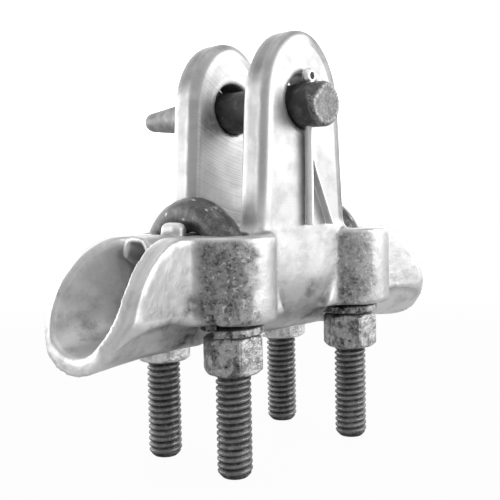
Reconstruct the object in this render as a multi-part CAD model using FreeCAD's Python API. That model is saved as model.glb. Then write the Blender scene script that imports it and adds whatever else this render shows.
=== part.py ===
# Angle suspension clamp for an overhead line: a cast trough that carries the conductor, a keeper
# pressed down by two U-bolts, and a clevis with a loose pin by which the clamp hangs.
# Millimetres. X runs along the conductor, Y across it, Z up. The origin is the centre of the
# pin hole, midway between the two ears.
import FreeCAD, Part
import math
import os

from FreeCAD import Vector

# Clevis ears
eye_height = 48.0          # pin-hole centre above the flat top of the trough
ear_gap = 23.7             # clear width between the ears
ear_thickness = 13.5
ear_half_width = 21.3      # at the level of the hole
ear_root_half_width = 24.0
ear_top_rise = 26.2        # top of the ear above the hole centre
ear_shoulder_drop = 3.0    # where the straight edge ends, below the hole centre
ear_foot_radius = 5.0
ear_outer_bevel = 1.8
ear_inner_bevel = 2.8      # the edges that face the gap are cut back further
pin_hole_radius = 9.95

# Trough casting
trough_half_length = 88.0
shoulder_depth = 30.3      # flat top down to the seats of the washers
side_half_width = ear_gap / 2 + ear_thickness
belly_drop = 40.4          # flat top down to the underside at mid length
belly_round = side_half_width
neck_half_width = 20.0
neck_blend_radius = 6.0
neck_belly_radius = 17.6
neck_belly_drop = 41.3
mouth_half_width = 25.0
mouth_drop = 43.8          # flat top down to the lowest point of the lip
mouth_curve_start = 54.3   # where the rim begins to fall away from the flat top
mouth_curve_drop = 41.0
lip_margin = 0.2           # how far the square corners of the mouth stand outside its round lip
rim_flat_half_width = 14.0 # beyond this the rim leans back, away from the end
rim_lean = 0.35
arch_start = 50.4          # the lower edge of the flared wall arches up from here
arch_crown = 62.0          # to here, and then dips to the lip
arch_rise = 2.5
lip_dip = 4                # the power of its run by which it dips, so most of it near the lip
rim_lead = 0.4             # how far above the flat top the rim's curve begins
end_margin = 4.0           # spare length of the trough that the rim cut trims off
top_edge_round = 1.2
low_edge_round = 1.6
boss_radius = 16.1
boss_crease_radius = 3.0
web_spread = 7.0           # how far the foot of each boss spreads along the wall, at its seat
spot_face_radius = 14.0

# Conductor groove
groove_half_width = 9.5    # at the flat top
groove_round = 7.5         # radius of the groove's floor
groove_drop = 31.0         # flat top down to the groove's floor
groove_straight = 46.0     # half length over which the groove keeps its section
groove_mouth_half_width = 18.3
groove_mouth_drop = 38.2

# U-bolts
rod_diameter = 12.7
leg_spacing = 38.2         # between the two legs of one bolt
bolt_spacing = 67.7        # between the two bolts, along the trough
crown_rise = 13.4          # top of the bend above the flat top
leg_drop = 86.0            # leg tips below the flat top
leg_hole_clearance = 0.65
tip_chamfer = 1.4

# Nuts and lock washers
nut_across_flats = 19.05
nut_height = 13.5
nut_chamfer = 1.5          # how far the corners are cut back, along the axis
nut_face_inset = 0.4
nut_bore_clearance = 0.06
washer_outer_radius = 11.2
washer_section_height = 2.7
washer_opening = 2.0       # rise of the sprung ring from one end to the other
washer_bore_clearance = 0.55
washer_split = 18.0        # angle left open between the ends, degrees
washer_near_left_start = 190.0    # where its lower end stands, in degrees round from +X
washer_near_right_start = 75.0
washer_far_left_start = 320.0
washer_far_right_start = 250.0
seat_clearance = 0.02

# Keeper
keeper_half_length = 61.0
keeper_width = 14.4        # across its back
keeper_drop = 13.5         # flat top down to the underside between the bolts
keeper_end_drop = 7.0      # flat top down to the underside at the turned-up ends
keeper_end_run = 20.0      # length of each turned-up end
keeper_end_slope = 1.4     # how far the back slopes down over that length
keeper_back_round = 4.0
keeper_channel_radius = 5.2
keeper_lug_top = 4.5       # rise of the lugs beside each bolt above the flat top
keeper_lug_width = 10.4
keeper_lug_length = 6.0
keeper_lug_round = 2.7
keeper_side_clearance = 0.15
bolt_seat_clearance = 0.3

# Clevis pin
pin_diameter = 16.4
pin_running_clearance = 0.1
pin_end_overhang = 10.4    # near end beyond the outer face of its ear
pin_end_chamfer = 1.0
pin_head_radius = 12.5
pin_head_thickness = 5.5
pin_head_clearance = 0.5
pin_nose_length = 34.5
pin_nose_root_radius = 7.6
pin_nose_tip_radius = 4.2

# Cotter
cotter_hole_radius = 2.1
cotter_setback = 8.4       # from the near end of the pin to the cotter
cotter_radius = 1.8        # of each half-round leg
cotter_leg_length = 36.0
cotter_eye_radius = 1.3    # inside the loop
cotter_bend_start = 8.5    # below the pin, where one leg turns aside
cotter_bend_radius = 18.0
cotter_bend_angle = 25.0
cotter_clearance = 0.1

# Values that follow from the sizes above
deck = -eye_height
ear_inner = ear_gap / 2
ear_outer = side_half_width
rod_radius = rod_diameter / 2
leg_y = leg_spacing / 2
bolt_x = bolt_spacing / 2
leg_hole_radius = rod_radius + leg_hole_clearance
bend_centre = deck + crown_rise - rod_radius - leg_y
leg_tip = deck - leg_drop
boss_seat = deck - shoulder_depth
washer_low = boss_seat - washer_section_height - washer_opening
nut_low = washer_low - seat_clearance - nut_height
pin_radius = pin_diameter / 2
pin_axis = -(pin_hole_radius - pin_radius - pin_running_clearance)
pin_near_end = -(ear_outer + pin_end_overhang)


def mirrored(shape, across):
    return shape.mirror(Vector(0, 0, 0), across)


def prism(wire, direction):
    return Part.Face(wire).extrude(direction)


def line(a, b):
    return Part.makeLine(a, b)


def arc(a, b, c):
    return Part.Arc(a, b, c).toShape()


def smooth(points):
    curve = Part.BSplineCurve()
    curve.interpolate(points)
    return curve.toShape()


def trough_section(x, half_width, low_radius, drop, top):
    """One U-shaped cross-section: a flat top, leaning sides and a round floor."""
    centre = deck - drop + low_radius
    left_top = Vector(x, -half_width, top)
    right_top = Vector(x, half_width, top)
    left_low = Vector(x, -low_radius, centre)
    right_low = Vector(x, low_radius, centre)
    floor = Vector(x, 0, deck - drop)
    return Part.Wire([
        line(left_top, right_top),
        line(right_top, right_low),
        arc(right_low, floor, left_low),
        line(left_low, left_top),
    ])


def ease(t):
    return math.sin(math.pi * min(max(t, 0.0), 1.0) / 2) ** 2


def groove():
    """The conductor's bed: straight between the bolts, widening and falling into each mouth."""
    top = deck + 1.0
    reach = trough_half_length - groove_straight
    straight = prism(
        trough_section(-groove_straight, groove_half_width, groove_round, groove_drop, top),
        Vector(2 * groove_straight, 0, 0))
    sections = []
    for step in range(8):
        t = step / 6
        x = groove_straight + reach * t
        widen = ease(t) if t <= 1 else 1 + 0.5 * (t - 1)
        half = groove_half_width + (groove_mouth_half_width - groove_half_width) * widen
        low = groove_round + (groove_mouth_half_width - groove_round) * widen
        drop = groove_drop + (groove_mouth_drop - groove_drop) * t * t
        sections.append(trough_section(x, half, low, drop, top))
    mouth = Part.makeLoft(sections, True)
    return straight.fuse([mouth, mirrored(mouth, Vector(1, 0, 0))])


def belly():
    """The rounded underside: full width under the ears, narrower at the neck, belled at the lip."""
    x_full = bolt_x
    x_neck = mouth_curve_start + 2.0
    middle = prism(
        trough_section(-x_full, side_half_width, belly_round, belly_drop, deck),
        Vector(2 * x_full, 0, 0))
    sections = []
    for step in range(4):
        t = step / 3
        x = x_full + (x_neck - x_full) * t
        radius = belly_round + (neck_belly_radius - belly_round) * ease(t)
        drop = belly_drop + (neck_belly_drop - belly_drop) * t
        sections.append(trough_section(x, radius, radius, drop, deck))
    for step in range(1, 7):
        t = step / 5
        x = x_neck + (trough_half_length - x_neck) * t
        radius = neck_belly_radius + (mouth_half_width - neck_belly_radius) * t ** 1.5
        drop = neck_belly_drop + (mouth_drop - neck_belly_drop) * t ** 1.5
        sections.append(trough_section(x, radius, radius, drop, deck))
    end = Part.makeLoft(sections, True)
    return middle.fuse([end, mirrored(end, Vector(1, 0, 0))])


def shoulder_outline(flip_x, flip_y):
    """One quarter of the plan outline, from mid length to the mouth, as a list of edges."""
    boss = Vector(bolt_x, leg_y, 0)
    crease_y = side_half_width + boss_crease_radius
    crease_x = bolt_x - math.sqrt((boss_radius + boss_crease_radius) ** 2 - (crease_y - leg_y) ** 2)
    crease = Vector(crease_x, crease_y, 0)
    neck_y = neck_half_width + neck_blend_radius
    neck_x = bolt_x + math.sqrt((boss_radius + neck_blend_radius) ** 2 - (neck_y - leg_y) ** 2)
    neck = Vector(neck_x, neck_y, 0)

    def toward(start, aim, reach):
        return start + (aim - start).normalize() * reach

    p0 = Vector(0, side_half_width, 0)
    p1 = Vector(crease_x, side_half_width, 0)
    p2 = toward(crease, boss, boss_crease_radius)
    p3 = toward(neck, boss, neck_blend_radius)
    p4 = Vector(neck_x, neck_half_width, 0)
    p5 = Vector(trough_half_length, mouth_half_width, 0)
    p6 = p5 + Vector(end_margin, 0, 0)
    crease_mid = toward(crease, (p1 + p2) / 2, boss_crease_radius)
    boss_mid = boss + Vector(0, boss_radius, 0)
    neck_mid = toward(neck, (p3 + p4) / 2, neck_blend_radius)
    run = p5.x - p4.x
    rise = p5.y - p4.y
    flare = [Vector(p4.x + run * t, p4.y + rise * ease(t), 0) for t in (0, 0.25, 0.5, 0.75, 1)]

    def put(point):
        return Vector(flip_x * point.x, flip_y * point.y, 0)

    return [line(put(p0), put(p1)), arc(put(p1), put(crease_mid), put(p2)),
            arc(put(p2), put(boss_mid), put(p3)), arc(put(p3), put(neck_mid), put(p4)),
            smooth([put(point) for point in flare]), line(put(p5), put(p6))]


def shoulder():
    """The upper body seen from above: side walls, four bosses, necks and flared mouths."""
    edges = []
    for flip_x in (1, -1):
        for flip_y in (1, -1):
            edges += shoulder_outline(flip_x, flip_y)
    end = trough_half_length + end_margin
    half = mouth_half_width
    edges.append(line(Vector(end, -half, 0), Vector(end, half, 0)))
    edges.append(line(Vector(-end, -half, 0), Vector(-end, half, 0)))
    wire = Part.Wire(Part.sortEdges(edges)[0])
    solid = prism(wire, Vector(0, 0, -shoulder_depth))
    solid.translate(Vector(0, 0, deck))

    def rims(height):
        return [edge for edge in solid.Edges
                if edge.BoundBox.ZLength < 0.01 and abs(edge.BoundBox.ZMin - height) < 0.01
                and edge.BoundBox.XLength > 0.01]

    solid = solid.makeFillet(top_edge_round, rims(deck))
    solid = solid.makeFillet(low_edge_round, rims(boss_seat))
    skirt = prism(wire, Vector(0, 0, top_edge_round - mouth_drop))
    skirt.translate(Vector(0, 0, deck - top_edge_round))
    middle = Part.makeBox(2 * arch_crown, 4 * side_half_width, 2 * mouth_drop,
                          Vector(-arch_crown, -2 * side_half_width, deck - 2 * mouth_drop))
    under = flare_under()
    solid = solid.fuse(skirt.cut(middle)).cut([under, mirrored(under, Vector(1, 0, 0))])
    return solid.cut([lip_corner(1), lip_corner(-1), wall_under()])


def wall_under():
    """The hollow between two bosses where the wall turns under and only the rounded belly is left."""
    low = boss_seat - lip_margin
    depth = deck - belly_drop + belly_round - low
    wide = 4 * side_half_width
    block = Part.makeBox(2 * bolt_x, wide, depth, Vector(-bolt_x, -wide / 2, low))
    webs = [Part.makeCone(boss_radius + web_spread, boss_radius, depth, Vector(side_x * bolt_x, side_y * leg_y, low))
            for side_x in (-1, 1) for side_y in (-1, 1)]
    return block.cut(webs)


def flare_under():
    """What lies below the flared wall: its lower edge arches up at the neck and dips to the lip."""
    end = trough_half_length + end_margin
    crown = boss_seat + arch_rise
    fall = crown - (deck - mouth_drop - arch_rise)
    edge = [Vector(arch_start, 0, boss_seat - lip_margin),
            Vector((arch_start + arch_crown) / 2, 0, boss_seat + arch_rise / 2)]
    for step in range(7):
        t = step / 6
        edge.append(Vector(arch_crown + (end - arch_crown) * t, 0, crown - fall * t ** lip_dip))
    low = deck - 2 * mouth_drop
    points = [edge[-1], Vector(end, 0, low), Vector(arch_start, 0, low), edge[0]]
    reach = 2 * side_half_width
    solid = prism(Part.Wire([smooth(edge)] + Part.makePolygon(points).Edges), Vector(0, 2 * reach, 0))
    solid.translate(Vector(0, -reach, 0))
    return solid


def lip_corner(side_x):
    """The square lower corners of a flared mouth, outside the round of its lip."""
    start = neck_blend_radius + bolt_x
    length = trough_half_length + 2 * end_margin - start
    width = 2 * side_half_width
    block = Part.makeBox(length, width, mouth_drop + 2 * end_margin,
                         Vector(start, -width / 2, deck - mouth_drop - 2 * end_margin))
    wide = mouth_half_width + lip_margin
    bell = prism(trough_section(start, wide, wide, mouth_drop + lip_margin, deck + 2 * end_margin),
                 Vector(length, 0, 0))
    corner = block.cut(bell)
    return corner if side_x > 0 else mirrored(corner, Vector(1, 0, 0))


def rim_cut():
    """What is trimmed from one end of the trough, so that the rim slopes when seen from the side."""
    centre_z = deck - mouth_curve_drop
    rise = mouth_curve_drop + rim_lead
    run = trough_half_length - mouth_curve_start
    rim = []
    for step in range(9):
        angle = math.pi / 2 * step / 8
        rim.append(Vector(mouth_curve_start + run * math.sin(angle), 0, centre_z + rise * math.cos(angle)))
    beyond = trough_half_length + 4 * end_margin
    low = deck - mouth_drop - end_margin
    high = deck + end_margin
    points = [rim[-1], Vector(trough_half_length, 0, low), Vector(beyond, 0, low),
              Vector(beyond, 0, high), Vector(mouth_curve_start, 0, high), rim[0]]
    wire = Part.Wire([smooth(rim)] + Part.makePolygon(points).Edges)
    half = rim_flat_half_width
    middle = prism(wire, Vector(0, 2 * half, 0))
    middle.translate(Vector(0, -half, 0))
    side = prism(wire, Vector(-rim_lean * side_half_width, side_half_width, 0))
    side.translate(Vector(0, half, 0))
    return middle.fuse([side, mirrored(side, Vector(0, 1, 0))])


def ear():
    """One clevis ear, with a tapering straight edge, a tall round top and a spread foot."""
    shoulder_z = -ear_shoulder_drop
    root = deck - 4.0
    foot_x = ear_root_half_width + ear_foot_radius
    foot_z = deck + ear_foot_radius
    slant = ear_foot_radius * math.sqrt(0.5)
    foot_mid = Vector(foot_x - slant, 0, foot_z - slant)
    rise = ear_top_rise - shoulder_z
    top = []
    for step in range(9):
        angle = math.pi * step / 8
        top.append(Vector(ear_half_width * math.cos(angle), 0, shoulder_z + rise * math.sin(angle)))
    foot_right = [Vector(foot_x, 0, root), Vector(foot_x, 0, deck), Vector(ear_root_half_width, 0, foot_z)]
    foot_left = [Vector(-p.x, 0, p.z) for p in foot_right]
    edges = [
        line(foot_left[0], foot_right[0]),
        line(foot_right[0], foot_right[1]),
        arc(foot_right[1], foot_mid, foot_right[2]),
        line(foot_right[2], top[0]),
        smooth(top),
        line(top[-1], foot_left[2]),
        arc(foot_left[2], Vector(-foot_mid.x, 0, foot_mid.z), foot_left[1]),
        line(foot_left[1], foot_left[0]),
    ]
    plate = prism(Part.Wire(edges), Vector(0, ear_thickness, 0))
    plate.translate(Vector(0, ear_inner, 0))
    for face_y, bevel in ((ear_inner, ear_inner_bevel), (ear_outer, ear_outer_bevel)):
        rim = [edge for edge in plate.Edges if edge.BoundBox.ZMax > deck + ear_foot_radius + 1
               and abs(edge.BoundBox.YMin - face_y) < 0.01 and edge.BoundBox.YLength < 0.01]
        plate = plate.makeChamfer(bevel, rim)
    hole = Part.makeCylinder(pin_hole_radius, ear_thickness, Vector(0, ear_inner, 0), Vector(0, 1, 0))
    return plate.cut(hole)


def clamp_body():
    """The casting: trough, bosses and ears in one piece."""
    end = rim_cut()
    trough = shoulder().fuse(belly()).cut([end, mirrored(end, Vector(1, 0, 0))])
    cuts = [groove()]
    slot_top = deck + crown_rise
    slot_low = bend_centre - 1.0
    for side_x in (-1, 1):
        for side_y in (-1, 1):
            at = Vector(side_x * bolt_x, side_y * leg_y, boss_seat)
            cuts.append(Part.makeCylinder(leg_hole_radius, shoulder_depth + slot_top - deck, at))
            relief = at + Vector(0, 0, -mouth_drop)
            cuts.append(Part.makeCylinder(spot_face_radius, mouth_drop, relief))
        slot = Part.makeBox(2 * leg_hole_radius, leg_spacing, slot_top - slot_low,
                            Vector(side_x * bolt_x - leg_hole_radius, -leg_y, slot_low))
        cuts.append(slot)
    return trough.fuse([ear(), mirrored(ear(), Vector(0, 1, 0))]).cut(cuts).removeSplitter()


def u_bolt(side_x):
    """A round rod bent to a U, standing with its bend upwards and its legs through the bosses."""
    x = side_x * bolt_x
    length = bend_centre - leg_tip
    pieces = []
    for side_y in (-1, 1):
        leg = Part.makeCylinder(rod_radius, length, Vector(x, side_y * leg_y, leg_tip))
        end = [edge for edge in leg.Edges if edge.BoundBox.ZMax < leg_tip + 0.01]
        pieces.append(leg.makeChamfer(tip_chamfer, end))
    section = Part.Face(Part.Wire(Part.makeCircle(rod_radius, Vector(x, leg_y, bend_centre))))
    bend = section.revolve(Vector(x, 0, bend_centre), Vector(1, 0, 0), 180)
    return bend.fuse(pieces).removeSplitter()


def hex_nut(side_x, side_y):
    """A plain hexagon nut, chamfered at both ends, with a bore that clears the thread."""
    corner = nut_across_flats / math.sqrt(3)
    points = []
    for step in range(7):
        angle = math.radians(60 * step)
        points.append(Vector(corner * math.cos(angle), corner * math.sin(angle), 0))
    hexagon = prism(Part.makePolygon(points), Vector(0, 0, nut_height))
    face = nut_across_flats / 2 - nut_face_inset
    turned = Part.makePolygon([
        Vector(0, 0, 0), Vector(face, 0, 0), Vector(corner, 0, nut_chamfer),
        Vector(corner, 0, nut_height - nut_chamfer), Vector(face, 0, nut_height),
        Vector(0, 0, nut_height), Vector(0, 0, 0)])
    blank = Part.Face(turned).revolve(Vector(0, 0, 0), Vector(0, 0, 1), 360)
    nut = hexagon.common(blank).cut(Part.makeCylinder(rod_radius + nut_bore_clearance, nut_height))
    nut.translate(Vector(side_x * bolt_x, side_y * leg_y, nut_low))
    return nut


def lock_washer(side_x, side_y, start):
    """A sprung split washer: one turn of square-section wire whose ends stand apart."""
    inner = rod_radius + washer_bore_clearance
    width = washer_outer_radius - inner
    mean = inner + width / 2
    turn = 360.0 - washer_split
    pitch = washer_opening * 360.0 / turn
    helix = Part.makeHelix(pitch, washer_opening, mean)
    half = washer_section_height / 2
    profile = Part.makePolygon([Vector(inner, 0, -half), Vector(washer_outer_radius, 0, -half),
                                Vector(washer_outer_radius, 0, half), Vector(inner, 0, half),
                                Vector(inner, 0, -half)])
    ring = Part.Wire(helix.Edges).makePipeShell([profile], True, True)
    ring.rotate(Vector(0, 0, 0), Vector(0, 0, 1), start)
    ring.translate(Vector(side_x * bolt_x, side_y * leg_y, washer_low + half))
    return ring


def keeper_section(x):
    """The bar's cross-section: its back fits the bend of the bolts, its skirts meet the groove."""
    under = deck - keeper_drop
    lean = (groove_half_width - groove_round) / (groove_drop - groove_round)
    skirt = groove_half_width - lean * keeper_drop - keeper_side_clearance
    half = keeper_width / 2
    back = leg_y - rod_radius - bolt_seat_clearance
    edge_z = bend_centre + math.sqrt(back ** 2 - half ** 2)
    return Part.Wire([
        line(Vector(x, -skirt, under), Vector(x, skirt, under)),
        line(Vector(x, skirt, under), Vector(x, half, edge_z)),
        arc(Vector(x, half, edge_z), Vector(x, 0, bend_centre + back), Vector(x, -half, edge_z)),
        line(Vector(x, -half, edge_z), Vector(x, -skirt, under)),
    ])


def keeper_lug(x):
    """A rounded lug that keeps the bolt from sliding along the keeper."""
    half = keeper_lug_width / 2
    height = keeper_lug_top + keeper_drop / 2
    corner = Vector(x - keeper_lug_length / 2, -half, deck + keeper_lug_top - height)
    lug = Part.makeBox(keeper_lug_length, keeper_lug_width, height, corner)
    upper = [edge for edge in lug.Edges if edge.BoundBox.ZMax > deck + keeper_lug_top - 0.01]
    return lug.makeFillet(keeper_lug_round, upper)


def keeper():
    """The bar that presses the conductor down: an inverted channel with turned-up ends."""
    length = keeper_half_length
    under = deck - keeper_drop
    bar = prism(keeper_section(-length), Vector(2 * length, 0, 0))
    back_edges = [edge for edge in bar.Edges if edge.BoundBox.ZMin > under + 1 and edge.BoundBox.XLength > length]
    bar = bar.makeFillet(keeper_back_round, back_edges)
    rise = keeper_drop - keeper_end_drop
    bow = (keeper_end_run ** 2 + rise ** 2) / (2 * rise)
    turn = math.degrees(math.asin(keeper_end_run / bow))
    start = length - keeper_end_run
    pivot = Vector(start, 0, under + bow)
    across = Vector(0, 1, 0)
    wide = 2 * keeper_width
    block = Part.makeBox(keeper_end_run + 1, wide, rise, Vector(start, -wide / 2, under))
    curve = Part.makeCylinder(bow, wide, Vector(start, -wide / 2, under + bow), across)
    channel = Part.Face(Part.Wire(Part.makeCircle(keeper_channel_radius, Vector(start, 0, under), Vector(1, 0, 0))))
    bell = channel.revolve(pivot, across, -turn - 5)
    cuts = [Part.makeCylinder(keeper_channel_radius, 2 * start, Vector(-start, 0, under), Vector(1, 0, 0))]
    crest = bend_centre + leg_y - rod_radius - bolt_seat_clearance
    corners = [Vector(start, 0, crest), Vector(length, 0, crest - keeper_end_slope),
               Vector(length, 0, deck), Vector(start, 0, deck), Vector(start, 0, crest)]
    slope = prism(Part.makePolygon(corners), Vector(0, wide, 0))
    slope.translate(Vector(0, -wide / 2, 0))
    for cut in (block.cut(curve), bell, slope):
        cuts += [cut, mirrored(cut, Vector(1, 0, 0))]
    bar = bar.cut(cuts)
    beside = rod_radius + bolt_seat_clearance + keeper_lug_length / 2
    lugs = [keeper_lug(side * bolt_x + step * beside) for side in (-1, 1) for step in (-1, 1)]
    return bar.fuse(lugs).removeSplitter()


def clevis_pin():
    """A turned pin with a round head on the far side and a tapering forged nose."""
    y0 = pin_near_end
    y_head = ear_outer + pin_head_clearance
    y_nose = y_head + pin_head_thickness
    y_end = y_nose + pin_nose_length
    c = pin_end_chamfer
    tip = pin_nose_tip_radius
    profile = [Vector(0, y0, 0), Vector(pin_radius - c, y0, 0), Vector(pin_radius, y0 + c, 0),
               Vector(pin_radius, y_head, 0), Vector(pin_head_radius, y_head, 0),
               Vector(pin_head_radius, y_nose, 0), Vector(pin_nose_root_radius, y_nose, 0)]
    outer = Part.makePolygon(profile).Edges
    slope_end = Vector(tip, y_end - tip, 0)
    slant = tip * math.sqrt(0.5)
    edges = outer + [line(profile[-1], slope_end),
                     arc(slope_end, Vector(slant, y_end - tip + slant, 0), Vector(0, y_end, 0)),
                     line(Vector(0, y_end, 0), profile[0])]
    pin = Part.Face(Part.Wire(edges)).revolve(Vector(0, 0, 0), Vector(0, 1, 0), 360)
    pin.translate(Vector(0, 0, pin_axis))
    hole = Part.makeCylinder(cotter_hole_radius, 4 * pin_radius,
                             Vector(0, y0 + cotter_setback, pin_axis - 2 * pin_radius))
    return pin.cut(hole)


def half_round(x, y, z, toward):
    """The half-round section of the cotter's wire, its flat side at x and its back towards -X or +X."""
    r = cotter_radius
    top = Vector(x, y + r, z)
    low = Vector(x, y - r, z)
    return Part.Wire([arc(top, Vector(x + toward * r, y, z), low), line(low, top)])


def cotter_pin():
    """A split cotter: a loop above the pin and two legs below, one of them bent aside."""
    y = pin_near_end + cotter_setback
    outer = cotter_eye_radius + cotter_radius
    sink = outer - math.sqrt(outer ** 2 - cotter_hole_radius ** 2)
    eye_z = pin_axis + pin_radius + cotter_clearance + outer - sink
    low = pin_axis - pin_radius
    leg_end = low - cotter_leg_length
    gap = cotter_clearance / 2
    neck_z = eye_z - cotter_eye_radius - cotter_radius / 2
    straight = prism(half_round(-gap, y, leg_end, -1), Vector(0, 0, neck_z - leg_end))
    bend_z = low - cotter_bend_start
    bent_top = prism(half_round(gap, y, bend_z, 1), Vector(0, 0, neck_z - bend_z))
    turn = math.radians(cotter_bend_angle)
    radius = cotter_bend_radius
    pivot = Vector(gap + radius, y, bend_z)
    section = Part.Face(half_round(gap, y, bend_z, 1))
    elbow = section.revolve(pivot, Vector(0, 1, 0), -cotter_bend_angle)
    left_over = (bend_z - leg_end - radius * math.sin(turn)) / math.cos(turn)
    tail = section.copy()
    tail.rotate(pivot, Vector(0, 1, 0), -cotter_bend_angle)
    tail = tail.extrude(Vector(math.sin(turn), 0, -math.cos(turn)) * left_over)
    ring_face = Part.Face(half_round(cotter_eye_radius, y, eye_z, 1))
    ring = ring_face.revolve(Vector(0, y, eye_z), Vector(0, 1, 0), 360)
    return ring.fuse([straight, bent_top, elbow, tail])


parts = {
    "clamp_body": clamp_body(),
    "keeper": keeper(),
    "clevis_pin": clevis_pin(),
    "cotter_pin": cotter_pin(),
}
for side, side_x, starts in (("left", -1, (washer_near_left_start, washer_far_left_start)),
                             ("right", 1, (washer_near_right_start, washer_far_right_start))):
    parts["u_bolt_" + side] = u_bolt(side_x)
    for row, side_y, start in (("near", -1, starts[0]), ("far", 1, starts[1])):
        parts["hex_nut_" + row + "_" + side] = hex_nut(side_x, side_y)
        parts["lock_washer_" + row + "_" + side] = lock_washer(side_x, side_y, start)

os.makedirs("parts", exist_ok=True)
for name, shape in parts.items():
    shape = shape.Solids[0] if len(shape.Solids) == 1 else shape
    shape.exportStep(os.path.join("parts", name + ".step"))
    print(name, shape.ShapeType, len(shape.Solids), shape.isValid(), round(shape.Volume / 1000, 3))
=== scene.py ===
import math

import bmesh
import bpy
import numpy as np
from mathutils import Matrix, Vector, noise


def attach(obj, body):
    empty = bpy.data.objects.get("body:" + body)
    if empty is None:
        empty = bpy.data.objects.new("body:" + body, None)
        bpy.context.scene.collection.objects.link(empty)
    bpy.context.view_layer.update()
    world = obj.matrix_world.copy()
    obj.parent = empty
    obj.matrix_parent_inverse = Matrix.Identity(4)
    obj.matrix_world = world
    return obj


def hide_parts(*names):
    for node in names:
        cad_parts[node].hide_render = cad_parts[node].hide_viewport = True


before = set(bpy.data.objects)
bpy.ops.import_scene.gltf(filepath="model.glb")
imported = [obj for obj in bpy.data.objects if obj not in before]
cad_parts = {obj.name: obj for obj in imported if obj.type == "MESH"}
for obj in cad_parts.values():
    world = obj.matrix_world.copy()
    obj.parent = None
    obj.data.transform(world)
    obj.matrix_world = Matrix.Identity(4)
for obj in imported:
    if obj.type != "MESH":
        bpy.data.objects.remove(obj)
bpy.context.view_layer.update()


# Camera
# It stands low at the front left, level with the trough, so that the left mouth opens towards it
# and both ears and all four threaded legs show.
camera_place = Vector((-0.23684, -0.22560, -0.03363))
camera_yaw = math.radians(44.16)
camera_pitch = math.radians(3.91)
camera_roll = math.radians(-1.07)
camera_forward = Vector((math.cos(camera_yaw) * math.cos(camera_pitch),
                         math.sin(camera_yaw) * math.cos(camera_pitch),
                         -math.sin(camera_pitch)))
level_right = Vector((math.sin(camera_yaw), -math.cos(camera_yaw), 0.0))
level_up = level_right.cross(camera_forward)
camera_right = level_right * math.cos(camera_roll) + level_up * math.sin(camera_roll)
camera_up = level_up * math.cos(camera_roll) - level_right * math.sin(camera_roll)
camera_turn = Matrix((camera_right, camera_up, -camera_forward)).transposed()
camera = bpy.data.objects.new("camera", bpy.data.cameras.new("camera"))
camera.data.sensor_width = 36.0
camera.data.lens = 59.68
camera.data.clip_start = 0.01
camera.matrix_world = Matrix.Translation(camera_place) @ camera_turn.to_4x4()
bpy.context.scene.collection.objects.link(camera)
bpy.context.scene.camera = camera
bpy.context.scene.view_settings.view_transform = "Standard"


# Studio light
# Two big soft boxes, one at each side, and a weaker one above. The side from which the picture is
# taken stays dim, so bare metal that faces it reads darker than metal that is turned away.
lamp_aim = Vector((0.0, 0.0, -0.05))


def soft_box(name, place, width, height, power):
    """A rectangular lamp that points at the clamp."""
    lamp = bpy.data.lights.new(name, "AREA")
    lamp.shape = "RECTANGLE"
    lamp.size = width
    lamp.size_y = height
    lamp.energy = power
    box = bpy.data.objects.new(name, lamp)
    box.location = place
    box.rotation_euler = (lamp_aim - Vector(place)).to_track_quat("-Z", "Y").to_euler()
    bpy.context.scene.collection.objects.link(box)


soft_box("soft_box_right", (0.44, -0.68, 0.20), width=0.82, height=0.70, power=3.9)
soft_box("soft_box_left", (-0.36, 0.62, 0.06), width=0.66, height=0.42, power=1.65)
soft_box("soft_box_top", (0.0, 0.05, 0.75), width=0.60, height=0.60, power=0.6)


# Casting
# Trough, bosses and both ears are one piece of malleable iron, cast in sand and dipped in zinc.
# Its corners are soft, its skin is a little wavy, and the zinc has dulled in blotches.
deck = -0.048          # the flat top of the trough
boss_radius = 0.0161
bolt_x = 0.03385       # from the middle to each bolt
leg_y = 0.0191         # from the middle to each leg of a bolt
ear_inner = 0.01185    # the ears' faces inside the gap, and outside
ear_outer = 0.02535
cast_wave_length = 0.011


class Shade:
    """A socket of one material, with arithmetic that adds the Math nodes."""

    def __init__(self, tree, socket):
        self.tree = tree
        self.socket = socket

    def node(self, kind, settings=None, **inputs):
        """Adds a node. An input is named with _ for each space, or numbered, as in input0."""
        made = self.tree.nodes.new(kind)
        for key, value in (settings or {}).items():
            setattr(made, key, value)
        for key, value in inputs.items():
            name = key.replace("_", " ")
            socket = made.inputs[int(name[5:])] if name.startswith("input") else made.inputs[name]
            if isinstance(value, Shade):
                self.tree.links.new(value.socket, socket)
            else:
                socket.default_value = value
        return made

    def maths(self, operation, *others):
        """This socket put through a Math node, with the other values after it."""
        inputs = {"input" + str(place + 1): other for place, other in enumerate(others)}
        made = self.node("ShaderNodeMath", {"operation": operation}, input0=self, **inputs)
        return Shade(self.tree, made.outputs[0])

    def __add__(self, other):
        return self.maths("ADD", other)

    def __radd__(self, other):
        return self.maths("ADD", other)

    def __sub__(self, other):
        return self.maths("SUBTRACT", other)

    def __rsub__(self, other):
        return (self * -1.0) + other

    def __mul__(self, other):
        return self.maths("MULTIPLY", other)

    def __rmul__(self, other):
        return self.maths("MULTIPLY", other)

    def between(self, low, high):
        """0 below low, 1 above high, and a smooth climb between."""
        made = self.node("ShaderNodeMapRange", {"interpolation_type": "SMOOTHSTEP"},
                         Value=self, From_Min=low, From_Max=high)
        return Shade(self.tree, made.outputs[0])

    def clipped(self):
        """Held between 0 and 1."""
        made = self.node("ShaderNodeClamp", Value=self)
        return Shade(self.tree, made.outputs[0])


def layered(base, *layers):
    """A base value to which patterns are added, each times its own share."""
    total = base
    for share, pattern in layers:
        total = total + share * pattern
    return total


def length_of(*parts):
    """The length of an arrow with the given parts, one for each axis that counts."""
    squares = [part.maths("POWER", 2.0) for part in parts]
    total = squares[0]
    for square in squares[1:]:
        total = total + square
    return total.maths("SQRT")


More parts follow.
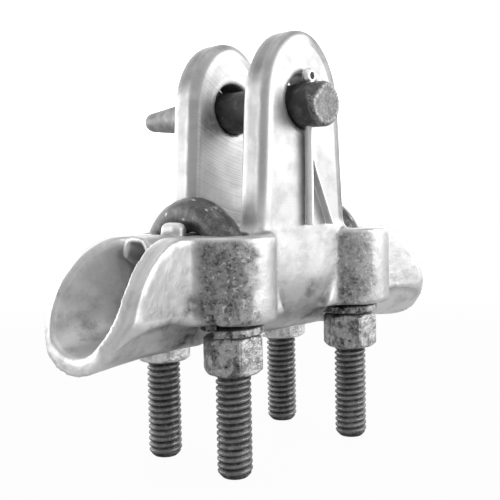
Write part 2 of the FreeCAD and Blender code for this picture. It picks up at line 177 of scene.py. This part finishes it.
class Finish:
    """One material: its shader, and the patterns that are laid over it."""

    def __init__(self, name, metallic):
        self.material = bpy.data.materials.new(name)
        self.material.use_nodes = True
        self.tree = self.material.node_tree
        self.shader = self.tree.nodes["Principled BSDF"]
        self.shader.inputs["Metallic"].default_value = metallic
        place = self.tree.nodes.new("ShaderNodeTexCoord")
        self.place = Shade(self.tree, place.outputs["Object"])
        parts = self.place.node("ShaderNodeSeparateXYZ", Vector=self.place)
        self.x, self.y, self.z = (Shade(self.tree, parts.outputs[axis]) for axis in "XYZ")

    def attribute(self, name):
        """A value that the mesh carries."""
        made = self.place.node("ShaderNodeAttribute", {"attribute_name": name})
        return Shade(self.tree, made.outputs["Fac"])

    def cloud(self, grain, detail=3.0, roughness=0.55, stretch=(1.0, 1.0, 1.0)):
        """Noise with blotches about grain metres across."""
        where = self.place.node("ShaderNodeMapping", Vector=self.place, Scale=stretch)
        made = self.place.node("ShaderNodeTexNoise", Vector=Shade(self.tree, where.outputs[0]),
                               Scale=1.0 / grain, Detail=detail, Roughness=roughness)
        return Shade(self.tree, made.outputs["Fac"])

    def lines(self, distance, grain):
        """Streaks that follow the lines of equal distance, about grain metres apart."""
        made = self.place.node("ShaderNodeTexNoise", {"noise_dimensions": "1D"},
                               W=distance * (1.0 / grain), Detail=3.0, Roughness=0.6)
        return Shade(self.tree, made.outputs["Fac"])

    def distance(self, middle):
        """Distance from a point, or from a line along the axis whose coordinate is None."""
        parts = zip((self.x, self.y, self.z), middle)
        return length_of(*[part - centre for part, centre in parts if centre is not None])

    def spot(self, middle, inner, outer):
        """1 within inner of a point, 0 beyond outer."""
        return 1.0 - self.distance(middle).between(inner, outer)

    def lay(self, grey, roughness, height, depth):
        """Links a grey, a roughness and a relief whose heights are depth metres for each unit."""
        made = self.place.node("ShaderNodeMix", {"data_type": "RGBA"}, input0=grey.clipped(),
                               input6=(0.0, 0.0, 0.0, 1.0), input7=(1.0, 1.0, 1.0, 1.0))
        self.tree.links.new(made.outputs[2], self.shader.inputs["Base Color"])
        self.tree.links.new(roughness.clipped().socket, self.shader.inputs["Roughness"])
        made = self.place.node("ShaderNodeBump", Height=height, Distance=depth, Strength=1.0)
        self.tree.links.new(made.outputs[0], self.shader.inputs["Normal"])


def dress(piece, finish, body, slot, *nodes):
    """Gives a piece its material and body, and hides the CAD nodes that it stands for. Its slot is not
    used.
    """
    piece.data.materials.clear()
    piece.data.materials.append(finish.material)
    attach(piece, body)
    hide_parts(*nodes)


def node_copy(node):
    """A merged copy of a CAD node's mesh, to be worked on."""
    work = bmesh.new()
    work.from_mesh(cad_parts[node].data)
    bmesh.ops.remove_doubles(work, verts=work.verts, dist=1e-6)
    return work


def softened(work, voxel, smoothing):
    """The mesh of a closed shape, built anew in voxels and smoothed, so that its corners are soft."""
    sharp = bpy.data.meshes.new("sharp")
    work.to_mesh(sharp)
    work.free()
    rough = bpy.data.objects.new("sharp", sharp)
    bpy.context.scene.collection.objects.link(rough)
    skin = rough.modifiers.new("skin", "REMESH")
    skin.mode = "VOXEL"
    skin.voxel_size = voxel
    soften = rough.modifiers.new("soften", "SMOOTH")
    soften.factor = 0.5
    soften.iterations = smoothing
    graph = bpy.context.evaluated_depsgraph_get()
    soft = bpy.data.meshes.new_from_object(rough.evaluated_get(graph))
    bpy.data.objects.remove(rough)
    bpy.data.meshes.remove(sharp)
    return soft


def rough_skin(work, name, voxel, smoothing, wave, wave_length, calm=1.0):
    """A closed shape with soft corners and an uneven skin, whose waves are wave high, and a third as
    high above the height calm. It stays inside the box of the CAD node.
    Its attribute named ridge is positive on outer corners and negative in hollows."""
    ripple_share = 0.25
    ripples_per_wave = 3.1
    calm_share = 0.67
    calm_blend = 0.004
    ridge_passes = 6
    full_ridge = 0.02 * voxel
    corners = np.array([vert.co for vert in work.verts])
    mesh = softened(work, voxel, smoothing)
    count = len(mesh.vertices)
    place = np.zeros(count * 3)
    mesh.vertices.foreach_get("co", place)
    place = place.reshape(-1, 3)
    outward = np.zeros(count * 3)
    mesh.vertices.foreach_get("normal", outward)
    outward = outward.reshape(-1, 3)
    links = np.zeros(len(mesh.edges) * 2, dtype=np.int64)
    mesh.edges.foreach_get("vertices", links)
    links = links.reshape(-1, 2)
    around = np.bincount(links.ravel(), minlength=count)

    def mean_of_neighbours(values):
        total = np.zeros_like(values)
        np.add.at(total, links[:, 0], values[links[:, 1]])
        np.add.at(total, links[:, 1], values[links[:, 0]])
        return total / (around[:, None] if values.ndim > 1 else around)

    ridge = ((place - mean_of_neighbours(place)) * outward).sum(axis=1)
    for _ in range(ridge_passes):
        ridge = 0.5 * ridge + 0.5 * mean_of_neighbours(ridge)
    ridge = np.clip(ridge / full_ridge, -1.0, 1.0)
    spots = [Vector(point) / wave_length for point in place]
    waves = np.array([(1.0 - ripple_share) * noise.noise(spot)
                      + ripple_share * noise.noise(spot * ripples_per_wave) for spot in spots])
    waves *= 1.0 - calm_share * np.clip((place[:, 2] - calm) / calm_blend, 0.0, 1.0)
    place += outward * (waves * wave)[:, None]
    place = np.clip(place, corners.min(axis=0), corners.max(axis=0))
    mesh.vertices.foreach_set("co", place.ravel())
    mesh.attributes.new("ridge", "FLOAT", "POINT").data.foreach_set("value", ridge)
    mesh.shade_smooth()
    mesh.name = name
    piece = bpy.data.objects.new(name, mesh)
    bpy.context.scene.collection.objects.link(piece)
    return piece


galvanised = Finish("galvanised_casting", 0.80)
blotch = galvanised.cloud(0.009, 4.0, 0.6)
cloudy = galvanised.cloud(0.035, 2.0)
patch = galvanised.cloud(0.0042, 3.0, 0.6)
pits = galvanised.cloud(0.0016, 3.0, 0.65)
grit = galvanised.cloud(0.0011, 2.0, 0.55)
ridge = galvanised.attribute("ridge")
across = galvanised.y.maths("ABSOLUTE")
height = galvanised.z
stain = (blotch + cloudy * 0.4).between(0.60, 0.86)
ears = height.between(deck + 0.001, deck + 0.005)

# On one outer side of each boss, the side that faces the dim side of the studio, the grey is painted
# darker: painted shade, speckled with a coarse grain of zinc. Stained places have that grain too, the
# more so the lower they lie.
shade_way_x = -0.788
shade_way_y = -0.616
boss_scale = 62.0    # about 1 over the radius of a boss
from_boss_x = galvanised.x - galvanised.x.maths("SIGN") * bolt_x
from_boss_y = galvanised.y - galvanised.y.maths("SIGN") * leg_y
facing_shade = ((from_boss_x * shade_way_x + from_boss_y * shade_way_y) * boss_scale).maths("ABSOLUTE")
facing_shade = layered(facing_shade, (0.30, blotch - 0.5), (0.30, patch - 0.5))
from_boss = length_of(from_boss_x, from_boss_y) + (patch - 0.5) * 0.006
on_boss = 1.0 - from_boss.between(boss_radius + 0.0001, boss_radius + 0.0025)
under_deck = 1.0 - height.between(deck - 0.0022, deck - 0.0006)
weaker_right = 1.0 - 0.30 * galvanised.x.between(0.0, 0.010)
shaded_side = facing_shade.between(0.64, 0.94) * (1.0 - ears) * across.between(0.0195, 0.0215)
shaded_side = shaded_side * on_boss * under_deck * weaker_right
low_down = 1.0 - height.between(-0.084, -0.058)
grain_and_shade = layered(shaded_side, (0.28, low_down * stain), (0.10, stain)).clipped()
speckle = layered(0.18, (0.18, patch.between(0.42, 0.60)), (0.16, grit.between(0.50, 0.64)))

# Painted shade lies in patches beside and between the near bosses, and beside the hole of the far ear.
# Each row holds its strength, its middle, and the distances within which it is full and beyond which
# it is gone.
shade_spots = (
    (1.0, (-0.0540, -0.0210, -0.0705), 0.0010, 0.0070),
    (0.5, (-0.0640, -0.0195, -0.0745), 0.0010, 0.0075),
    (0.6, (-0.0480, -0.0150, -0.0810), 0.0030, 0.0130),
    (1.0, (0.0045, -0.0245, -0.0700), 0.0010, 0.0070),
    (1.0, (0.0103, -0.0193, -0.0795), 0.0020, 0.0090),
    (0.9, (-0.0130, 0.0119, -0.0055), 0.0020, 0.0080))
painted_shade = layered(0.0, *[(share, galvanised.spot(*where)) for share, *where in shade_spots])
painted_shade = (painted_shade * (0.35 + 0.65 * patch.between(0.40, 0.60))).clipped()

# Painted shade darkens the left flare under its neck, and painted light brightens both flares under
# their lips.
shade_under_neck = galvanised.spot((-0.0460, -0.0120, -0.0830), 0.0040, 0.0160)
left_lip = galvanised.spot((-0.0780, -0.0120, -0.0850), 0.0060, 0.0190)
right_lip = galvanised.x.between(0.050, 0.058) * (1.0 - height.between(-0.078, -0.072))
lit_lips = (left_lip + right_lip).clipped()

# The ears' faces inside the gap are ground, in flat arcs, and their grey is raised: partly the bright
# ground metal, partly painted light against the shade between the ears. Painted shade darkens the
# ears' crowns and their right edges. At their left feet the ears are duller, and painted light raises
# their grey against the dark reflection of the rod.
arc_middle = (0.020, None, 0.055)
ground = ears * (1.0 - across.between(ear_inner + 0.0003, ear_inner + 0.00075))
arcs = galvanised.lines(galvanised.distance(arc_middle), 0.0015)
streaks = galvanised.lines(height, 0.0007)
from_hole = galvanised.distance((0.0, None, 0.0))
rim = across.between(0.0120, 0.0135) * (1.0 - across.between(ear_outer - 0.00105, ear_outer - 0.00035))
shaded_crown = (height + (patch - 0.5) * 0.008).between(0.0040, 0.0100) * from_hole.between(0.0120, 0.0140) * rim
shaded_right_edge = ears * ridge.between(0.15, 0.60) * galvanised.x.between(0.0, 0.006)
shaded_right_edge = shaded_right_edge * from_hole.between(0.0125, 0.0150)
left_foot = ears * (1.0 - height.between(-0.042, -0.030)) * (1.0 - galvanised.x.between(-0.0200, -0.0170))

galvanised.lay(
    grey=layered(
        0.58,
        (0.06, cloudy),
        (-0.07, stain),
        (-0.05, pits.between(0.58, 0.72)),
        (-1.0, grain_and_shade * speckle),
        (0.52, grain_and_shade * pits.between(0.56, 0.72)),
        (-0.30, painted_shade),
        (-0.22, shade_under_neck),
        (0.18, lit_lips),
        (0.22, ground),
        (-0.28, ground * arcs.between(0.50, 0.66)),
        (-0.05, ears * (1.0 - ground)),
        (-0.05, ears * streaks.between(0.5, 0.7)),
        (-0.14, shaded_crown),
        (-0.32, shaded_right_edge),
        (0.14, left_foot),
        # Outer corners take a painted highlight, and hollows painted shade.
        (0.09, ridge.between(0.25, 0.8)),
        (-0.08, (ridge * -1.0).between(0.2, 0.9))),
    roughness=layered(
        0.34,
        (0.08, blotch),
        (0.22, grain_and_shade),
        (0.10, painted_shade),
        (0.06, ground),
        (0.22, left_foot)),
    height=layered(
        pits * (0.07 + 0.4 * grain_and_shade),
        (1.0, blotch * (0.50 - 0.40 * ears)),
        (0.05, arcs * ground),
        (0.02, streaks * ears)),
    depth=0.0005)

clamp_casting = rough_skin(node_copy("clamp_body"), "clamp_casting", voxel=0.00088, smoothing=7,
                           wave=0.00022, wave_length=cast_wave_length, calm=deck + 0.003)
dress(clamp_casting, galvanised, "clamp_body", "galvanised_casting", "clamp_body")


# Keeper
# A bar like an inverted channel, cast and galvanised like the trough, which the U-bolts press on
# the conductor. Its ends turn up, and lugs beside each bolt keep it in place.
keeper_casting = rough_skin(node_copy("keeper"), "keeper_casting", voxel=0.0006, smoothing=7,
                            wave=0.00012, wave_length=cast_wave_length)
dress(keeper_casting, galvanised, "clamp_body", "galvanised_casting", "keeper")


# U-bolts
# Round steel rod bent to a U over the keeper, with threads rolled on both legs, which go down
# through the bosses. The zinc on the threads is dark.
rod_radius = 0.00635
thread_pitch = 0.0023
thread_depth = 0.00085
turn_steps = 36
bend_height = -0.06005    # the middle of the bend
bend_steps = 56
rod_points = 40
leg_tip = -0.1340
thread_top = -0.0770
rod_overlap = 0.001       # how far the plain rod reaches down into the threaded leg
tip_cut = 0.0019          # how far the tip's rim is cut back, and over what height
tip_height = 0.0026
tip_curve = 1.6
thread_start = leg_tip - 2 * thread_pitch
leg_places = {(row, side): (x, y) for row, y in (("near", -leg_y), ("far", leg_y))
              for side, x in (("left", -bolt_x), ("right", bolt_x))}

# One turn of the rolled thread: the height as a share of the pitch, and how far in it lies as a
# share of the thread's depth.
leg_thread = ((0.0, 1.0), (0.08, 0.94), (0.30, 0.22), (0.40, 0.03), (0.52, 0.0), (0.66, 0.05),
              (0.76, 0.24), (0.97, 0.95), (1.0, 1.0))


def helix(x, y, crest, profile, start, turns):
    """A thread of the given crest radius, wound upwards from start, as a mesh of its own."""
    work = bmesh.new()
    made = [work.verts.new((x + crest - thread_depth * inward, y, start + thread_pitch * up))
            for up, inward in profile]
    edges = [work.edges.new(pair) for pair in zip(made, made[1:])]
    bmesh.ops.spin(work, geom=made + edges, cent=(x, y, 0.0), axis=(0.0, 0.0, 1.0),
                   dvec=(0.0, 0.0, thread_pitch / turn_steps), angle=2 * math.pi * turns,
                   steps=turn_steps * turns, use_merge=False, use_duplicate=False)
    bmesh.ops.remove_doubles(work, verts=work.verts, dist=1e-6)
    return work


def cut_flat(work, x, y, low, high):
    """Cuts off what lies below low and above high."""
    for height, normal in ((low, (0, 0, -1)), (high, (0, 0, 1))):
        geometry = work.verts[:] + work.edges[:] + work.faces[:]
        bmesh.ops.bisect_plane(work, geom=geometry, plane_co=(x, y, height), plane_no=normal,
                               clear_outer=True, clear_inner=False)


def join(work, part):
    """Adds one mesh to another."""
    mesh = bpy.data.meshes.new("part")
    part.to_mesh(mesh)
    part.free()
    work.from_mesh(mesh)
    bpy.data.meshes.remove(mesh)


def new_piece(name, work, angle):
    """Makes an object from a bmesh, with shading that breaks at edges sharper than angle degrees."""
    bmesh.ops.remove_doubles(work, verts=work.verts, dist=1e-7)
    bmesh.ops.recalc_face_normals(work, faces=work.faces)
    for face in work.faces:
        face.smooth = True
    for edge in work.edges:
        edge.smooth = edge.calc_face_angle(0.0) < math.radians(angle)
    mesh = bpy.data.meshes.new(name)
    work.to_mesh(mesh)
    work.free()
    piece = bpy.data.objects.new(name, mesh)
    bpy.context.scene.collection.objects.link(piece)
    return piece


def threaded_leg(x, y):
    """One leg with its rolled thread, closed at both ends, its tip turned down to a blunt cone."""
    turns = math.ceil((thread_top - thread_start) / thread_pitch)
    leg = helix(x, y, rod_radius, leg_thread, thread_start, turns)
    cut_flat(leg, x, y, leg_tip, thread_top)
    for vert in leg.verts:
        arm = Vector((vert.co.x - x, vert.co.y - y, 0.0))
        near_tip = max(0.0, 1.0 - (vert.co.z - leg_tip) / tip_height)
        most = rod_radius - tip_cut * near_tip ** tip_curve
        if arm.length > most:
            arm = arm.normalized() * most
            vert.co.x = x + arm.x
            vert.co.y = y + arm.y
    bmesh.ops.holes_fill(leg, edges=[edge for edge in leg.edges if edge.is_boundary], sides=0)
    return leg


def u_bolt(name, x):
    """Two threaded legs under a half ring of plain rod, whose two ends reach into them."""
    work = bmesh.new()
    for y in (-leg_y, leg_y):
        join(work, threaded_leg(x, y))
    ring = bmesh.ops.create_circle(work, cap_ends=False, segments=rod_points, radius=rod_radius,
                                   matrix=Matrix.Translation((x, leg_y, bend_height)))["verts"]
    loop = [edge for edge in work.edges if edge.verts[0] in ring and edge.verts[1] in ring]
    last = bmesh.ops.spin(work, geom=ring + loop, cent=(x, 0.0, bend_height), axis=(1.0, 0.0, 0.0),
                          angle=math.pi, steps=bend_steps, use_merge=False,
                          use_duplicate=False)["geom_last"]
    for edges in (loop, [item for item in last if isinstance(item, bmesh.types.BMEdge)]):
        lowered = bmesh.ops.extrude_edge_only(work, edges=edges)["geom"]
        verts = [item for item in lowered if isinstance(item, bmesh.types.BMVert)]
        fall = thread_top - rod_overlap - bend_height
        bmesh.ops.translate(work, verts=verts, vec=(0.0, 0.0, fall))
        end = [item for item in lowered if isinstance(item, bmesh.types.BMEdge)
               and item.verts[0] in verts and item.verts[1] in verts]
        bmesh.ops.edgeloop_fill(work, edges=end)
    return new_piece(name, work, angle=50.0)


dark_rod = Finish("dark_rod_steel", 0.8)
scale_marks = dark_rod.cloud(0.004, 4.0, 0.6)
fine = dark_rod.cloud(0.0009, 3.0, 0.6)
scratches = dark_rod.cloud(0.0013, 2.0, 0.6, (1.0, 0.25, 0.25)).between(0.62, 0.74)
drawn = dark_rod.lines(dark_rod.distance((None, 0.0, bend_height)), 0.0009)
on_bend = dark_rod.z.between(-0.062, -0.056)
threaded = 1.0 - dark_rod.z.between(thread_top - 0.001, thread_top)
from_leg = length_of(dark_rod.x.maths("ABSOLUTE") - bolt_x, dark_rod.y.maths("ABSOLUTE") - leg_y)
# The thread's crests take a painted highlight, and its roots painted shade.
crest = from_leg.between(0.0058, 0.0063)
root = 1.0 - from_leg.between(0.0054, 0.0059)
dark_rod.lay(
    grey=layered(
        0.10,
        (0.10, scale_marks.between(0.42, 0.72)),
        (0.08, fine.between(0.5, 0.75)),
        (0.45, scratches * on_bend),
        (0.10, drawn.between(0.55, 0.75) * on_bend),
        (1.0, threaded * crest * (0.02 + 0.14 * fine)),
        (-0.07, threaded * root)),
    roughness=0.28 + 0.25 * scale_marks,
    height=scale_marks * 0.5 + fine * 0.5,
    depth=0.00025)
for side, x in (("left", -bolt_x), ("right", bolt_x)):
    dress(u_bolt("threaded_u_bolt_" + side, x), dark_rod, "u_bolt_" + side, "dark_rod_steel",
          "u_bolt_" + side)


# Lock washers
# Sprung split rings of flat spring wire, galvanised. Each is nearly one turn whose ends stand
# apart, so it fills the gap between boss and nut as a slope.
washer_inner = 0.0069
washer_outer = 0.0112
washer_height = 0.0027
washer_round = 0.0005
washer_low = -0.0830
washer_rise = 0.0020
washer_arc = math.radians(342.0)
washer_steps = 150
corner_steps = 4
rise_wave = 0.00010         # how uneven the wire is upwards and outwards, and over what length
rise_wave_length = 0.004
side_wave = 0.00008
side_wave_length = 0.003
side_wave_shift = Vector((5.0, 0.0, 0.0))
washer_starts = {("near", "left"): 190.0, ("near", "right"): 75.0,
                 ("far", "left"): 320.0, ("far", "right"): 250.0}


def lock_washer(name, x, y, start):
    """Sweeps an oblong section with broken edges along one open turn, and makes it a bit uneven."""
    work = bmesh.new()
    middle = (washer_inner + washer_outer) / 2
    wide = (washer_outer - washer_inner) / 2
    tall = washer_height / 2
    points = []
    for corner, (outward, upward) in enumerate(((1, 1), (-1, 1), (-1, -1), (1, -1))):
        for step in range(corner_steps + 1):
            angle = math.radians(90.0 * (corner + step / corner_steps))
            points.append((middle + outward * (wide - washer_round) + washer_round * math.cos(angle),
                           upward * (tall - washer_round) + washer_round * math.sin(angle)))
    turned = math.radians(start)
    verts = [work.verts.new((x + r * math.cos(turned), y + r * math.sin(turned), washer_low + tall + z))
             for r, z in points]
    first = work.faces.new(verts)
    bmesh.ops.spin(work, geom=[first] + list(first.edges) + verts, cent=(x, y, 0.0),
                   axis=(0.0, 0.0, 1.0), dvec=(0.0, 0.0, washer_rise / washer_steps),
                   angle=washer_arc, steps=washer_steps, use_merge=False, use_duplicate=False)
    bmesh.ops.remove_doubles(work, verts=work.verts, dist=1e-7)
    for vert in work.verts:
        vert.co.z += noise.noise(vert.co / rise_wave_length) * rise_wave
        arm = Vector((vert.co.x - x, vert.co.y - y, 0.0)).normalized()
        vert.co += arm * noise.noise(vert.co / side_wave_length + side_wave_shift) * side_wave
    return new_piece(name, work, angle=45.0)


fastener = Finish("galvanised_fastener", 0.8)
blotch = fastener.cloud(0.0036, 4.0, 0.62)
pits = fastener.cloud(0.0011, 3.0, 0.65)
far_side = fastener.y.between(-0.005, 0.005)
on_washer = fastener.z.between(washer_low, washer_low + 0.0002)
from_bolt_x = fastener.x - fastener.x.maths("SIGN") * bolt_x
# Painted shade on the left sides of the near nuts and washers, which are turned from the light.
shaded_left_face = 1.0 - from_bolt_x.between(-0.0060, -0.0050)
fastener.lay(
    grey=layered(
        0.58,
        (-0.30, blotch.between(0.44, 0.60)),
        (-0.17, pits.between(0.54, 0.66)),
        (0.20, (1.0 - pits).between(0.56, 0.66)),
        (0.30, far_side),
        (-0.10, on_washer),
        (-0.10, (1.0 - far_side) * shaded_left_face)),
    roughness=0.30 + 0.22 * blotch,
    height=blotch * 1.2 + pits * 0.8,
    depth=0.0005)
for (row, side), (x, y) in leg_places.items():
    washer = lock_washer("spring_washer_" + row + "_" + side, x, y, washer_starts[row, side])
    dress(washer, fastener, "clamp_body", "galvanised_fastener", "lock_washer_" + row + "_" + side)


# Nuts
# Plain hexagon nuts, cold formed, tapped and galvanised: their corners are turned back at both
# ends and the thread inside follows the thread of the leg.
nut_flat = 0.009525
nut_corner = nut_flat / math.cos(math.radians(30.0))
nut_height = 0.0135
nut_low = -0.09652
nut_chamfer = 0.0015
chamfer_reach = 1.4       # how far the rings of the chamfer go on, as a share of its height
chamfer_steps = 10
nut_face = nut_flat - 0.0004
nut_mouth = 0.0069
face_rings = (0.0078, 0.0086)
side_rings = (0.22, 0.30, 0.40, 0.50, 0.60, 0.70, 0.78)
corner_cut = 0.0001395    # what is taken off along a corner, and more of it in the very middle
middle_cut = 0.0002835
corner_angle = 4.0        # how far that goes to each side of the corner, in degrees
edge_blend = 0.00012      # how softly the chamfer meets the sides
nut_points = 144
nut_wave = 0.00012
nut_wave_length = 0.0035
wave_start = 0.0088       # the nut is uneven outside this radius only
bore_clearance = 0.00008
bore_depth = 0.0005       # from each mouth to where the thread starts
nut_thread = ((0.0, 0.88), (0.06, 0.88), (0.30, 0.16), (0.40, -0.01), (0.66, -0.01), (0.76, 0.18),
              (1.0, 0.88))


def nut_reach(angle, height):
    """How far the nut's side stands from its axis, at an angle and a height above its lower face."""
    off_corner = abs((math.degrees(angle) + 30.0) % 60.0 - 30.0)
    flat = nut_flat / math.cos(math.radians(30.0 - off_corner)) if off_corner < 30.0 else nut_flat
    on_corner = max(0.0, 1.0 - off_corner / corner_angle) ** 1.5
    most = nut_corner - corner_cut - middle_cut * on_corner
    from_end = max(0.0, min(height, nut_height - height))
    cone = nut_face + (nut_corner - nut_face) * min(1.0, from_end / nut_chamfer)
    side = min(flat, most)
    blend = max(0.0, 1.0 - abs(side - cone) / (4 * edge_blend))
    return min(side, cone) - edge_blend * blend * blend


def hex_nut(name, x, y):
    """The hexagon as rings of points from one mouth of the bore round to the other, and a thread."""
    work = bmesh.new()
    chamfer = [nut_chamfer * chamfer_reach * step / chamfer_steps for step in range(chamfer_steps + 1)]
    rows = [(0.0, reach) for reach in (nut_mouth, *face_rings)]
    rows += [(height, None) for height in chamfer]
    rows += [(nut_height * share, None) for share in side_rings]
    rows += [(nut_height - height, None) for height in reversed(chamfer)]
    rows += [(nut_height, reach) for reach in (*reversed(face_rings), nut_mouth)]
    rings = []
    for height, reach in rows:
        ring = []
        for step in range(nut_points):
            angle = 2 * math.pi * step / nut_points
            out = nut_reach(angle, height) if reach is None else reach
            ring.append(work.verts.new((x + out * math.cos(angle), y + out * math.sin(angle),
                                        nut_low + height)))
        rings.append(ring)
    for lower, upper in zip(rings, rings[1:]):
        for step in range(nut_points):
            following = (step + 1) % nut_points
            work.faces.new((lower[step], lower[following], upper[following], upper[step]))
    for vert in work.verts:
        arm = Vector((vert.co.x - x, vert.co.y - y, 0.0))
        if arm.length > wave_start:
            vert.co += arm.normalized() * noise.noise(vert.co / nut_wave_length) * nut_wave
    turns_below = math.floor((nut_low - leg_tip) / thread_pitch)
    turns = math.ceil(nut_height / thread_pitch) + 3
    thread = helix(x, y, rod_radius + bore_clearance, nut_thread,
                   thread_start + thread_pitch * turns_below, turns)
    cut_flat(thread, x, y, nut_low + bore_depth, nut_low + nut_height - bore_depth)
    join(work, thread)
    slack = 1e-5
    nut_top = nut_low + nut_height
    for low, high in ((nut_low - slack, nut_low + bore_depth + slack),
                      (nut_top - bore_depth - slack, nut_top + slack)):
        rims = [edge for edge in work.edges if edge.is_boundary
                and all(low <= vert.co.z <= high for vert in edge.verts)]
        bmesh.ops.bridge_loops(work, edges=rims)
    return new_piece(name, work, angle=40.0)


for (row, side), (x, y) in leg_places.items():
    nut = hex_nut("nut_" + row + "_" + side, x, y)
    dress(nut, fastener, "hex_nut_" + row + "_" + side, "galvanised_fastener",
          "hex_nut_" + row + "_" + side)


# Clevis pin
# Forged from round bar and left dark: a round head behind the far ear, a stubby nose beyond it,
# and a near end that was sheared off, with its corners knocked back and a scuffed face.
pin_end = -0.03575
pin_axis = -0.00165
knocked_corners = (
    ((-0.0050, pin_end, pin_axis + 0.0035), (-0.62, -0.42, 0.66)),
    ((0.0072, pin_end, pin_axis - 0.0030), (0.90, -0.25, -0.35)),
    ((0.0062, pin_end, pin_axis + 0.0048), (0.72, -0.22, 0.66)))
work = node_copy("clevis_pin")
for place, normal in knocked_corners:
    cut = bmesh.ops.bisect_plane(work, geom=work.verts[:] + work.edges[:] + work.faces[:],
                                 plane_co=place, plane_no=normal, clear_outer=True, clear_inner=False)
    rim = [item for item in cut["geom_cut"] if isinstance(item, bmesh.types.BMEdge)]
    bmesh.ops.edgeloop_fill(work, edges=rim)
forged_pin = rough_skin(work, "forged_pin", voxel=0.00045, smoothing=2, wave=0.00010,
                        wave_length=0.006)

forged = Finish("dark_forged_steel", 0.75)
scale_marks = forged.cloud(0.005, 4.0, 0.62)
fine = forged.cloud(0.0010, 3.0, 0.65)
toward_end = forged.y * -1.0
scuffed = toward_end.between(0.0352, 0.0356)
near_end = toward_end.between(0.031, 0.034)
nose = forged.y.between(0.030, 0.036)
forged.lay(
    grey=layered(
        0.09,
        (0.09, scale_marks.between(0.45, 0.70)),
        (0.40, nose * scale_marks),
        (1.0, scuffed * (0.07 + 0.12 * fine.between(0.36, 0.68))),
        # The near end's outer corners take a speckled painted highlight.
        (0.18, forged.attribute("ridge").between(0.5, 1.0) * fine.between(0.35, 0.60) * near_end)),
    roughness=0.42 + 0.20 * scale_marks,
    height=scale_marks * 0.6 + fine * (0.3 + 0.2 * scuffed),
    depth=0.00030)
dress(forged_pin, forged, "clevis_pin", "dark_forged_steel", "clevis_pin")


# Cotter pin
# Half-round steel wire folded on itself: a loop over the pin and two flat-backed legs under it.
cotter = rough_skin(node_copy("cotter_pin"), "split_cotter", voxel=0.00022, smoothing=2,
                    wave=0.00002, wave_length=0.004)

wire = Finish("cotter_wire", 0.9)
drawn = wire.cloud(0.0010, 3.0, 0.6, (1.0, 1.0, 0.08))
dull = wire.cloud(0.004, 3.0, 0.6)
wire.lay(
    grey=layered(
        0.66,
        (0.25, drawn),
        (-0.14, dull.between(0.50, 0.72)),
        # The rounded back of the wire takes a painted highlight along it.
        (0.20, wire.attribute("ridge").between(0.2, 0.8))),
    roughness=0.30 + 0.18 * dull,
    height=drawn,
    depth=0.00008)
dress(cotter, wire, "clevis_pin", "cotter_wire", "cotter_pin")


# Floor
# A plain white table top at the tips of the bolts, which keeps only a faint shadow of the clamp.
# Metal that mirrors it sees it darker than the camera does.
floor_half = 6.0
floor_grey = (0.45, 0.45, 0.45, 1.0)
floor_roughness = 0.9
floor_mesh = bpy.data.meshes.new("floor")
work = bmesh.new()
bmesh.ops.create_grid(work, x_segments=1, y_segments=1, size=floor_half,
                      matrix=Matrix.Translation((0.0, 0.0, leg_tip)))
work.to_mesh(floor_mesh)
work.free()
floor = bpy.data.objects.new("floor", floor_mesh)
bpy.context.scene.collection.objects.link(floor)
table = bpy.data.materials.new("white_table")
table.use_nodes = True
tree = table.node_tree
top = tree.nodes["Principled BSDF"]
top.inputs["Base Color"].default_value = floor_grey
top.inputs["Roughness"].default_value = floor_roughness
path = tree.nodes.new("ShaderNodeLightPath")
seen = Shade(tree, path.outputs["Is Camera Ray"])
mirrored = Shade(tree, path.outputs["Is Glossy Ray"])
place = Shade(tree, tree.nodes.new("ShaderNodeTexCoord").outputs["Object"])
away = place.node("ShaderNodeVectorMath", {"operation": "LENGTH"}, input0=place).outputs["Value"]
far_away = Shade(tree, away).between(0.25, 0.60)
white = Shade(tree, tree.nodes.new("ShaderNodeEmission").outputs[0])
share = seen * (0.96 + 0.04 * far_away) + 0.22 * mirrored
blend = place.node("ShaderNodeMixShader", None, input0=share, input1=Shade(tree, top.outputs[0]),
                   input2=white)
tree.links.new(blend.outputs[0], tree.nodes["Material Output"].inputs["Surface"])
floor.data.materials.append(table)


# Surroundings
# A white backdrop for the camera. What the metal mirrors of it is dimmer behind the camera and
# overhead, and much brighter behind the clamp.
dim_way = (-0.93, -0.33, 0.15)
bright_way = (0.75, 0.66, 0.0)
world = bpy.data.worlds.new("studio")
bpy.context.scene.world = world
world.use_nodes = True
tree = world.node_tree
seen = Shade(tree, tree.nodes.new("ShaderNodeLightPath").outputs["Is Camera Ray"])
toward = Shade(tree, tree.nodes.new("ShaderNodeTexCoord").outputs["Generated"])


def along(way):
    """How far the line of sight points along a way."""
    made = toward.node("ShaderNodeVectorMath", {"operation": "DOT_PRODUCT"}, input0=toward, input1=way)
    return Shade(tree, made.outputs["Value"])


facing = along(dim_way)
upward = along((0.0, 0.0, 1.0))
dim = facing.between(0.30, 0.75) * (1.0 - 0.9 * upward.between(0.12, 0.45))
bright = along(bright_way).between(0.25, 0.80)
overhead = upward.between(0.25, 0.85) * (1.0 - facing.between(-0.3, 0.3))
strength = layered(0.72, (1.35, bright), (-0.42, dim)) * (1.0 - 0.52 * overhead)
strength = seen.maths("MAXIMUM", strength)
backdrop = tree.nodes["Background"]
backdrop.inputs["Color"].default_value = (1.0, 1.0, 1.0, 1.0)
tree.links.new(strength.socket, backdrop.inputs["Strength"])
